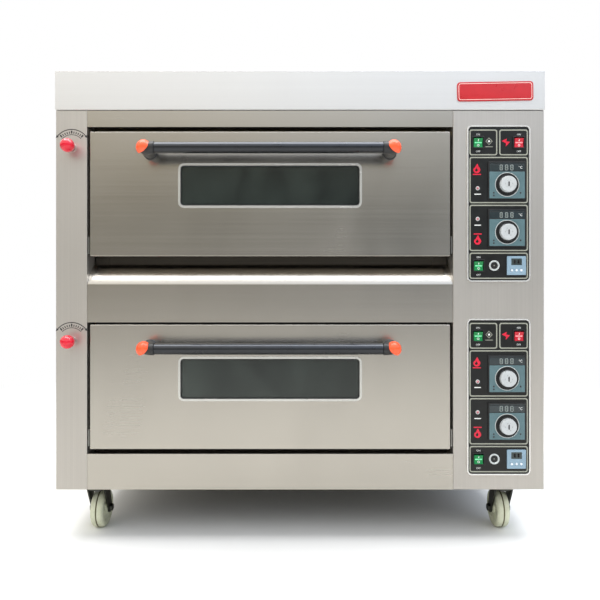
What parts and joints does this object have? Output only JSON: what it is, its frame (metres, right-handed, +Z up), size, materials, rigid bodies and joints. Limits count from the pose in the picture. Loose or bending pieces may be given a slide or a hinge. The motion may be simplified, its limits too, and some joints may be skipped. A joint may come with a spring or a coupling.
{
  "type": "deck oven",
  "caption": "Free-standing gas bakery oven with stacked baking chambers, drop-down glazed doors, thermostat panels and flue dampers, on swivel castors.",
  "frame": {"origin": "on the floor, at the middle of the whole oven's footprint, handles and rear fittings included", "axes": "+X to the right seen from the front, +Y to the back (the doors face -Y), +Z up"},
  "size_m": [1.25, 0.9602, 1.205],
  "materials": {
    "stainless_front": "satin",
    "stainless_panel": "satin",
    "bright_trim": "gloss",
    "frame_steel": "matte",
    "chamber_steel": "satin",
    "hearth_steel": "matte",
    "mineral_wool": "matte",
    "burner_steel": "matte",
    "brass_pipe": "satin",
    "black_membrane": "gloss",
    "thermostat_plastic": "satin",
    "timer_plastic": "satin",
    "zinc_plate": "satin",
    "window_glass": "gloss",
    "handle_black": "gloss",
    "knob_red": "gloss",
    "rocker_green": "gloss",
    "rocker_red": "gloss",
    "dial_silver": "satin",
    "button_white": "satin",
    "red_enamel": "gloss",
    "wheel_nylon": "satin"
  },
  "bodies": {
    "cabinet": {"base_frame": "frame_steel", "side_panels": "stainless_panel", "rear_panel": "stainless_panel", "roof_panel": "stainless_panel", "header_fascia": "stainless_front", "left_pillar": "stainless_front", "control_column": "stainless_front", "front_rails": "stainless_front", "name_plate": "red_enamel", "chamber_linings": "chamber_steel", "baking_decks": "hearth_steel", "insulation": "mineral_wool", "burners": "burner_steel", "gas_train": "brass_pipe", "flue_ducts": "chamber_steel", "control_panels": "black_membrane", "panel_bezels": "bright_trim", "thermostats": "thermostat_plastic", "timers_and_alarms": "timer_plastic", "hinge_brackets": "zinc_plate"},
    "lower_door": {"lower_door_skin": "stainless_front", "lower_door_liner": "chamber_steel", "lower_window_glass": "window_glass", "lower_window_trim": "bright_trim", "lower_handle_bar": "handle_black", "lower_handle_ends": "handle_black"},
    "upper_door": {"upper_door_skin": "stainless_front", "upper_door_liner": "chamber_steel", "upper_window_glass": "window_glass", "upper_window_trim": "bright_trim", "upper_handle_bar": "handle_black", "upper_handle_ends": "handle_black"},
    "lower_damper": {"lower_damper_knob": "knob_red", "lower_damper_shaft": "frame_steel"},
    "upper_damper": {"upper_damper_knob": "knob_red", "upper_damper_shaft": "frame_steel"},
    "lower_ignition_rocker": {"lower_ignition_rocker": "rocker_green"},
    "lower_power_rocker": {"lower_power_rocker": "rocker_red"},
    "lower_timer_rocker": {"lower_timer_rocker": "rocker_green"},
    "lower_top_heat_dial": {"lower_top_heat_dial": "dial_silver"},
    "lower_bottom_heat_dial": {"lower_bottom_heat_dial": "dial_silver"},
    "lower_timer_button_1": {"lower_timer_button_1": "button_white"},
    "lower_timer_button_2": {"lower_timer_button_2": "button_white"},
    "lower_timer_button_3": {"lower_timer_button_3": "button_white"},
    "upper_ignition_rocker": {"upper_ignition_rocker": "rocker_green"},
    "upper_power_rocker": {"upper_power_rocker": "rocker_red"},
    "upper_timer_rocker": {"upper_timer_rocker": "rocker_green"},
    "upper_top_heat_dial": {"upper_top_heat_dial": "dial_silver"},
    "upper_bottom_heat_dial": {"upper_bottom_heat_dial": "dial_silver"},
    "upper_timer_button_1": {"upper_timer_button_1": "button_white"},
    "upper_timer_button_2": {"upper_timer_button_2": "button_white"},
    "upper_timer_button_3": {"upper_timer_button_3": "button_white"},
    "front_left_swivel": {"front_left_fork": "zinc_plate"},
    "front_left_roller": {"front_left_wheel": "wheel_nylon"},
    "front_right_swivel": {"front_right_fork": "zinc_plate"},
    "front_right_roller": {"front_right_wheel": "wheel_nylon"},
    "rear_left_swivel": {"rear_left_fork": "zinc_plate"},
    "rear_left_roller": {"rear_left_wheel": "wheel_nylon"},
    "rear_right_swivel": {"rear_right_fork": "zinc_plate"},
    "rear_right_roller": {"rear_right_wheel": "wheel_nylon"}
  },
  "joints": [
    {"name": "lower_door_hinge", "type": "hinge", "parent": "cabinet", "child": "lower_door", "pos_m": [-0.0765, -0.3759, 0.262], "axis": [1, 0, 0], "range_deg": [0, 90]},
    {"name": "upper_door_hinge", "type": "hinge", "parent": "cabinet", "child": "upper_door", "pos_m": [-0.0765, -0.3759, 0.755], "axis": [1, 0, 0], "range_deg": [0, 90]},
    {"name": "lower_damper_turn", "type": "hinge", "parent": "cabinet", "child": "lower_damper", "pos_m": [-0.583, -0.3999, 0.515], "axis": [0, -1, 0], "range_deg": [0, 60]},
    {"name": "upper_damper_turn", "type": "hinge", "parent": "cabinet", "child": "upper_damper", "pos_m": [-0.583, -0.3999, 1.008], "axis": [0, -1, 0], "range_deg": [0, 60]},
    {"name": "lower_ignition_rocker_tilt", "type": "hinge", "parent": "cabinet", "child": "lower_ignition_rocker", "pos_m": [0.454, -0.3939, 0.528], "axis": [-1, 0, 0], "range_deg": [0, 14]},
    {"name": "lower_power_rocker_tilt", "type": "hinge", "parent": "cabinet", "child": "lower_power_rocker", "pos_m": [0.558, -0.3939, 0.528], "axis": [-1, 0, 0], "range_deg": [0, 14]},
    {"name": "lower_timer_rocker_tilt", "type": "hinge", "parent": "cabinet", "child": "lower_timer_rocker", "pos_m": [0.455, -0.3939, 0.214], "axis": [-1, 0, 0], "range_deg": [0, 14]},
    {"name": "lower_top_heat_dial_turn", "type": "hinge", "parent": "cabinet", "child": "lower_top_heat_dial", "pos_m": [0.527, -0.3999, 0.42], "axis": [0, 1, 0], "range_deg": [0, 300]},
    {"name": "lower_bottom_heat_dial_turn", "type": "hinge", "parent": "cabinet", "child": "lower_bottom_heat_dial", "pos_m": [0.527, -0.3999, 0.299], "axis": [0, 1, 0], "range_deg": [0, 300]},
    {"name": "lower_timer_button_1_press", "type": "slide", "parent": "cabinet", "child": "lower_timer_button_1", "axis": [0, 1, 0], "range_m": [0, 0.0015], "stiffness_N_per_m": 300},
    {"name": "lower_timer_button_2_press", "type": "slide", "parent": "cabinet", "child": "lower_timer_button_2", "axis": [0, 1, 0], "range_m": [0, 0.0015], "stiffness_N_per_m": 300},
    {"name": "lower_timer_button_3_press", "type": "slide", "parent": "cabinet", "child": "lower_timer_button_3", "axis": [0, 1, 0], "range_m": [0, 0.0015], "stiffness_N_per_m": 300},
    {"name": "upper_ignition_rocker_tilt", "type": "hinge", "parent": "cabinet", "child": "upper_ignition_rocker", "pos_m": [0.454, -0.3939, 1.021], "axis": [-1, 0, 0], "range_deg": [0, 14]},
    {"name": "upper_power_rocker_tilt", "type": "hinge", "parent": "cabinet", "child": "upper_power_rocker", "pos_m": [0.558, -0.3939, 1.021], "axis": [-1, 0, 0], "range_deg": [0, 14]},
    {"name": "upper_timer_rocker_tilt", "type": "hinge", "parent": "cabinet", "child": "upper_timer_rocker", "pos_m": [0.455, -0.3939, 0.707], "axis": [-1, 0, 0], "range_deg": [0, 14]},
    {"name": "upper_top_heat_dial_turn", "type": "hinge", "parent": "cabinet", "child": "upper_top_heat_dial", "pos_m": [0.527, -0.3999, 0.913], "axis": [0, 1, 0], "range_deg": [0, 300]},
    {"name": "upper_bottom_heat_dial_turn", "type": "hinge", "parent": "cabinet", "child": "upper_bottom_heat_dial", "pos_m": [0.527, -0.3999, 0.792], "axis": [0, 1, 0], "range_deg": [0, 300]},
    {"name": "upper_timer_button_1_press", "type": "slide", "parent": "cabinet", "child": "upper_timer_button_1", "axis": [0, 1, 0], "range_m": [0, 0.0015], "stiffness_N_per_m": 300},
    {"name": "upper_timer_button_2_press", "type": "slide", "parent": "cabinet", "child": "upper_timer_button_2", "axis": [0, 1, 0], "range_m": [0, 0.0015], "stiffness_N_per_m": 300},
    {"name": "upper_timer_button_3_press", "type": "slide", "parent": "cabinet", "child": "upper_timer_button_3", "axis": [0, 1, 0], "range_m": [0, 0.0015], "stiffness_N_per_m": 300},
    {"name": "front_left_swivel_turn", "type": "hinge", "parent": "cabinet", "child": "front_left_swivel", "pos_m": [-0.542, -0.3249, 0.116], "axis": [0, 0, 1], "continuous": true},
    {"name": "front_left_wheel_roll", "type": "hinge", "parent": "front_left_swivel", "child": "front_left_roller", "pos_m": [-0.542, -0.2949, 0.05], "axis": [1, 0, 0], "continuous": true},
    {"name": "front_right_swivel_turn", "type": "hinge", "parent": "cabinet", "child": "front_right_swivel", "pos_m": [0.542, -0.3249, 0.116], "axis": [0, 0, 1], "continuous": true},
    {"name": "front_right_wheel_roll", "type": "hinge", "parent": "front_right_swivel", "child": "front_right_roller", "pos_m": [0.542, -0.2949, 0.05], "axis": [1, 0, 0], "continuous": true},
    {"name": "rear_left_swivel_turn", "type": "hinge", "parent": "cabinet", "child": "rear_left_swivel", "pos_m": [-0.542, 0.3401, 0.116], "axis": [0, 0, 1], "continuous": true},
    {"name": "rear_left_wheel_roll", "type": "hinge", "parent": "rear_left_swivel", "child": "rear_left_roller", "pos_m": [-0.542, 0.3701, 0.05], "axis": [1, 0, 0], "continuous": true},
    {"name": "rear_right_swivel_turn", "type": "hinge", "parent": "cabinet", "child": "rear_right_swivel", "pos_m": [0.542, 0.3401, 0.116], "axis": [0, 0, 1], "continuous": true},
    {"name": "rear_right_wheel_roll", "type": "hinge", "parent": "rear_right_swivel", "child": "rear_right_roller", "pos_m": [0.542, 0.3701, 0.05], "axis": [1, 0, 0], "continuous": true}
  ]
}
